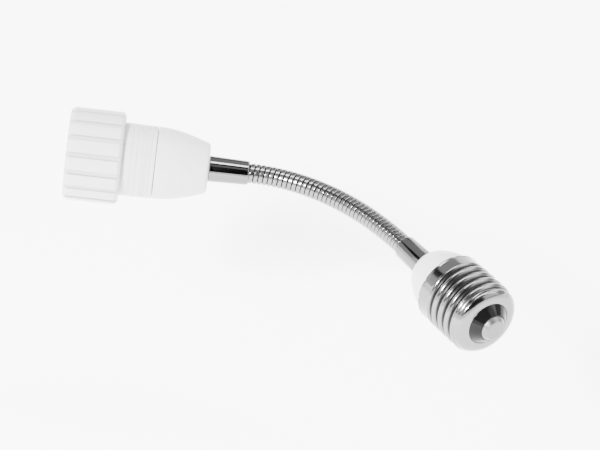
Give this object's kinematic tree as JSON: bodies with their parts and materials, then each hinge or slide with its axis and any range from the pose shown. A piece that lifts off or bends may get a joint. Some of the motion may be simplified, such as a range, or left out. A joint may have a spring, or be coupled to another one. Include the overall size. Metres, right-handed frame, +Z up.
{
  "type": "flexible lamp socket adapter",
  "caption": "Gooseneck adapter: a screw cap at one end, a twist-lock lamp socket with a fluted front ring at the other.",
  "frame": {"origin": "middle of the screw cap's centre contact, on its face", "axes": "+Z is up and square to the plane that the gooseneck is bent in; the lamp socket's axis lies along X with its mouth towards -X; the screw cap points 55 degrees from +X towards -Y"},
  "size_m": [0.1601, 0.1006, 0.0334],
  "materials": {
    "white_plastic": "smooth white moulded plastic, slightly glossy",
    "bright_plating": "bright nickel plating on turned brass",
    "coil_steel": "bright plated coil of wound steel",
    "plated_shell": "nickel-plated sheet, bright with fine drawing marks",
    "tin_plated_contact": "tin-plated brass",
    "black_insulator": "glossy black moulded insulator",
    "zinc_steel": "zinc-plated steel",
    "brown_insulation": "brown silicone wire insulation",
    "blue_insulation": "blue silicone wire insulation",
    "insert_ceramic": "off-white glazed ceramic",
    "contact_bronze": "spring bronze"
  },
  "bodies": {
    "cap": {"centre_contact": "tin_plated_contact", "plug_insulator": "black_insulator", "screw_shell": "plated_shell", "plug_neck": "white_plastic", "plug_lock_nut": "zinc_steel", "plug_ferrule": "bright_plating", "line_wire": "brown_insulation", "neutral_wire": "blue_insulation"},
    "coil_01": {"gooseneck_01": "coil_steel"},
    "coil_02": {"gooseneck_02": "coil_steel"},
    "coil_03": {"gooseneck_03": "coil_steel"},
    "coil_04": {"gooseneck_04": "coil_steel"},
    "coil_05": {"gooseneck_05": "coil_steel"},
    "coil_06": {"gooseneck_06": "coil_steel"},
    "coil_07": {"gooseneck_07": "coil_steel"},
    "coil_08": {"gooseneck_08": "coil_steel"},
    "coil_09": {"gooseneck_09": "coil_steel"},
    "socket": {"socket_ferrule": "bright_plating", "socket_lock_nut": "zinc_steel", "rear_cover": "white_plastic", "socket_body": "white_plastic", "front_ring": "white_plastic", "lamp_insert": "insert_ceramic", "contact_left": "contact_bronze", "contact_right": "contact_bronze", "contact_plate": "insert_ceramic"}
  },
  "joints": [
    {"name": "bend_01", "type": "hinge", "parent": "cap", "child": "coil_01", "pos_m": [-0.03203, 0.04575, 0], "axis": [0, 0, 1], "range_deg": [-21.47, 18.53], "deforming": ["line_wire", "neutral_wire"]},
    {"name": "bend_02", "type": "hinge", "parent": "coil_01", "child": "coil_02", "pos_m": [-0.03656, 0.05187, 0], "axis": [0.7857, 0.6186, 0], "range_deg": [-19.69, 19.69], "deforming": ["line_wire", "neutral_wire"]},
    {"name": "bend_03", "type": "hinge", "parent": "coil_02", "child": "coil_03", "pos_m": [-0.04145, 0.0577, 0], "axis": [0, 0, 1], "range_deg": [-24.24, 15.76], "deforming": ["line_wire", "neutral_wire"]},
    {"name": "bend_04", "type": "hinge", "parent": "coil_03", "child": "coil_04", "pos_m": [-0.04675, 0.06316, 0], "axis": [0.6858, 0.7278, 0], "range_deg": [-19.37, 19.37], "deforming": ["line_wire", "neutral_wire"]},
    {"name": "bend_05", "type": "hinge", "parent": "coil_04", "child": "coil_05", "pos_m": [-0.05252, 0.06813, 0], "axis": [0, 0, 1], "range_deg": [-25.74, 14.26], "deforming": ["line_wire", "neutral_wire"]},
    {"name": "bend_06", "type": "hinge", "parent": "coil_05", "child": "coil_06", "pos_m": [-0.05875, 0.07251, 0], "axis": [0.5273, 0.8497, 0], "range_deg": [-18.92, 18.92], "deforming": ["line_wire", "neutral_wire"]},
    {"name": "bend_07", "type": "hinge", "parent": "coil_06", "child": "coil_07", "pos_m": [-0.06543, 0.07615, 0], "axis": [0, 0, 1], "range_deg": [-27.23, 12.77], "deforming": ["line_wire", "neutral_wire"]},
    {"name": "bend_08", "type": "hinge", "parent": "coil_07", "child": "coil_08", "pos_m": [-0.07252, 0.07892, 0], "axis": [0.2983, 0.9545, 0], "range_deg": [-18.34, 18.34], "deforming": ["line_wire", "neutral_wire"]},
    {"name": "bend_09", "type": "hinge", "parent": "coil_08", "child": "coil_09", "pos_m": [-0.07992, 0.08068, 0], "axis": [0, 0, 1], "range_deg": [-28.73, 11.27], "deforming": ["line_wire", "neutral_wire"]},
    {"name": "bend_10", "type": "hinge", "parent": "coil_09", "child": "socket", "pos_m": [-0.08751, 0.08129, 0], "axis": [0.0405, 0.9992, 0], "range_deg": [-19.45, 19.45], "deforming": ["line_wire", "neutral_wire"]}
  ]
}
